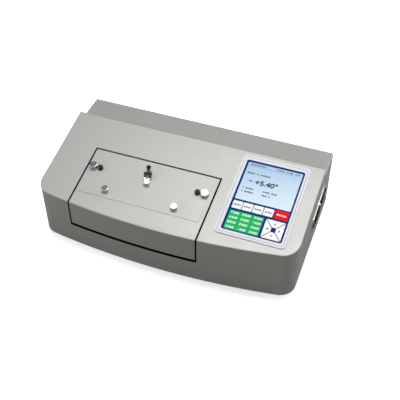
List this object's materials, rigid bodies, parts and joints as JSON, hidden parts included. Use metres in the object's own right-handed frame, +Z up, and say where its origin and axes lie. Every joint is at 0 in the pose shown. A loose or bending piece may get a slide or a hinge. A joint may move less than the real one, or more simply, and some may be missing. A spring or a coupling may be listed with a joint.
{
  "type": "polarimeter",
  "caption": "Bench-top automatic polarimeter with a hinged sample chamber lid, angle display, keypad and a worm-driven analyser.",
  "frame": {"origin": "on the bench plane, under the middle of the whole instrument's outline", "axes": "+X to the operator's right, -Y towards the operator, +Z up"},
  "size_m": [0.484, 0.274, 0.1547],
  "materials": {
    "housing_paint": "fine satin silver-grey paint",
    "zinc_sheet": "zinc-plated sheet",
    "rear_paint": "satin grey paint",
    "foot_rubber": "matt black",
    "black_screw": "black oxide",
    "plate_metal": "satin",
    "black_plastic": "fine grain",
    "rocker_plastic": "semi-gloss",
    "polished_metal": "polished",
    "pin_steel": "ground",
    "chamber_black": "dead matt black",
    "gasket_foam": "matt black",
    "black_anodised": "black anodised",
    "optical_glass": "polished",
    "filter_glass": "polished",
    "polarising_film": "polished",
    "bezel_white": "satin",
    "overlay_blue": "fine-textured film",
    "screen": "lit liquid-crystal display",
    "circuit_board": "solder mask",
    "bare_aluminium": "machined",
    "lamp_cap": "moulded",
    "copper_winding": "enamelled wire",
    "bearing_steel": "ground",
    "gear_brass": "machined",
    "motor_case": "satin black",
    "key_white": "satin",
    "key_red": "satin",
    "key_green": "satin"
  },
  "bodies": {
    "case": {"top_cover": "housing_paint", "base_plate": "zinc_sheet", "power_supply": "zinc_sheet", "lid_hinge_brackets": "zinc_sheet", "rear_panel": "rear_paint", "rubber_feet": "foot_rubber", "case_screws": "black_screw", "power_entry_plate": "plate_metal", "mains_inlet": "black_plastic", "lid_hinge_pin": "pin_steel", "chamber_tub": "chamber_black", "lid_gasket": "gasket_foam", "tube_cradle": "black_anodised", "lamp_housing": "black_anodised", "detector_housing": "black_anodised", "chamber_windows": "optical_glass", "lenses": "optical_glass", "modulator_rod": "optical_glass", "interference_filter": "filter_glass", "polariser": "polarising_film", "keypad_bezel": "bezel_white", "keypad_overlay": "overlay_blue", "lcd_panel": "screen", "panel_board": "circuit_board", "main_board": "circuit_board", "optical_bench": "bare_aluminium", "analyser_housing": "bare_aluminium", "led_lamp": "lamp_cap", "modulator_coil": "copper_winding", "analyser_bearings": "bearing_steel", "drive_motor": "motor_case"},
    "lid": {"chamber_lid": "housing_paint", "lid_studs": "polished_metal", "lid_plugs": "foot_rubber"},
    "lever": {"lid_lever": "polished_metal"},
    "rocker": {"power_rocker": "rocker_plastic"},
    "analyser": {"analyser_wheel": "gear_brass", "analyser_film": "polarising_film"},
    "worm": {"worm_shaft": "pin_steel"},
    "soft_key_1_body": {"soft_key_1": "key_white"},
    "soft_key_2_body": {"soft_key_2": "key_white"},
    "soft_key_3_body": {"soft_key_3": "key_white"},
    "soft_key_4_body": {"soft_key_4": "key_white"},
    "start_key_body": {"start_key": "key_red"},
    "key_0_body": {"key_0": "key_green"},
    "key_1_body": {"key_1": "key_green"},
    "key_2_body": {"key_2": "key_green"},
    "key_3_body": {"key_3": "key_green"},
    "key_4_body": {"key_4": "key_green"},
    "key_5_body": {"key_5": "key_green"},
    "key_6_body": {"key_6": "key_green"},
    "key_7_body": {"key_7": "key_green"},
    "key_8_body": {"key_8": "key_green"},
    "key_9_body": {"key_9": "key_green"},
    "key_point_body": {"key_point": "key_green"},
    "key_sign_body": {"key_sign": "key_green"},
    "arrow_key_up_body": {"arrow_key_up": "key_white"},
    "arrow_key_left_body": {"arrow_key_left": "key_white"},
    "arrow_key_down_body": {"arrow_key_down": "key_white"},
    "arrow_key_right_body": {"arrow_key_right": "key_white"}
  },
  "joints": [
    {"name": "lid_hinge", "type": "hinge", "parent": "case", "child": "lid", "pos_m": [-0.05265, 0.012, 0.128], "axis": [-1, 0, 0], "range_deg": [0, 72]},
    {"name": "lid_lever_turn", "type": "hinge", "parent": "lid", "child": "lever", "pos_m": [-0.0545, -0.051, 0.13182], "axis": [0, 0.1858, -0.9826], "range_deg": [0, 90]},
    {"name": "power_rocker_tilt", "type": "hinge", "parent": "case", "child": "rocker", "pos_m": [0.236, 0.06019, 0.08825], "axis": [0, -0.1858, 0.9826], "range_deg": [0, 18]},
    {"name": "analyser_turn", "type": "hinge", "parent": "case", "child": "analyser", "pos_m": [0.153, -0.075, 0.095], "axis": [1, 0, 0], "range_deg": [-90, 90]},
    {"name": "worm_turn", "type": "hinge", "parent": "case", "child": "worm", "pos_m": [0.153, -0.075, 0.07], "axis": [0, 1, 0], "range_deg": [-3600, 3600]},
    {"name": "soft_key_1_press", "type": "slide", "parent": "case", "child": "soft_key_1_body", "axis": [0, 0.1858, -0.9826], "range_m": [0, 0.0006]},
    {"name": "soft_key_2_press", "type": "slide", "parent": "case", "child": "soft_key_2_body", "axis": [0, 0.1858, -0.9826], "range_m": [0, 0.0006]},
    {"name": "soft_key_3_press", "type": "slide", "parent": "case", "child": "soft_key_3_body", "axis": [0, 0.1858, -0.9826], "range_m": [0, 0.0006]},
    {"name": "soft_key_4_press", "type": "slide", "parent": "case", "child": "soft_key_4_body", "axis": [0, 0.1858, -0.9826], "range_m": [0, 0.0006]},
    {"name": "start_key_press", "type": "slide", "parent": "case", "child": "start_key_body", "axis": [0, 0.1858, -0.9826], "range_m": [0, 0.0006]},
    {"name": "key_0_press", "type": "slide", "parent": "case", "child": "key_0_body", "axis": [0, 0.1858, -0.9826], "range_m": [0, 0.0006]},
    {"name": "key_1_press", "type": "slide", "parent": "case", "child": "key_1_body", "axis": [0, 0.1858, -0.9826], "range_m": [0, 0.0006]},
    {"name": "key_2_press", "type": "slide", "parent": "case", "child": "key_2_body", "axis": [0, 0.1858, -0.9826], "range_m": [0, 0.0006]},
    {"name": "key_3_press", "type": "slide", "parent": "case", "child": "key_3_body", "axis": [0, 0.1858, -0.9826], "range_m": [0, 0.0006]},
    {"name": "key_4_press", "type": "slide", "parent": "case", "child": "key_4_body", "axis": [0, 0.1858, -0.9826], "range_m": [0, 0.0006]},
    {"name": "key_5_press", "type": "slide", "parent": "case", "child": "key_5_body", "axis": [0, 0.1858, -0.9826], "range_m": [0, 0.0006]},
    {"name": "key_6_press", "type": "slide", "parent": "case", "child": "key_6_body", "axis": [0, 0.1858, -0.9826], "range_m": [0, 0.0006]},
    {"name": "key_7_press", "type": "slide", "parent": "case", "child": "key_7_body", "axis": [0, 0.1858, -0.9826], "range_m": [0, 0.0006]},
    {"name": "key_8_press", "type": "slide", "parent": "case", "child": "key_8_body", "axis": [0, 0.1858, -0.9826], "range_m": [0, 0.0006]},
    {"name": "key_9_press", "type": "slide", "parent": "case", "child": "key_9_body", "axis": [0, 0.1858, -0.9826], "range_m": [0, 0.0006]},
    {"name": "key_point_press", "type": "slide", "parent": "case", "child": "key_point_body", "axis": [0, 0.1858, -0.9826], "range_m": [0, 0.0006]},
    {"name": "key_sign_press", "type": "slide", "parent": "case", "child": "key_sign_body", "axis": [0, 0.1858, -0.9826], "range_m": [0, 0.0006]},
    {"name": "arrow_key_up_press", "type": "slide", "parent": "case", "child": "arrow_key_up_body", "axis": [0, 0.1858, -0.9826], "range_m": [0, 0.0006]},
    {"name": "arrow_key_left_press", "type": "slide", "parent": "case", "child": "arrow_key_left_body", "axis": [0, 0.1858, -0.9826], "range_m": [0, 0.0006]},
    {"name": "arrow_key_down_press", "type": "slide", "parent": "case", "child": "arrow_key_down_body", "axis": [0, 0.1858, -0.9826], "range_m": [0, 0.0006]},
    {"name": "arrow_key_right_press", "type": "slide", "parent": "case", "child": "arrow_key_right_body", "axis": [0, 0.1858, -0.9826], "range_m": [0, 0.0006]}
  ],
  "couplings": [
    {"joint": "worm_turn", "follows": "analyser_turn", "ratio": -40}
  ]
}
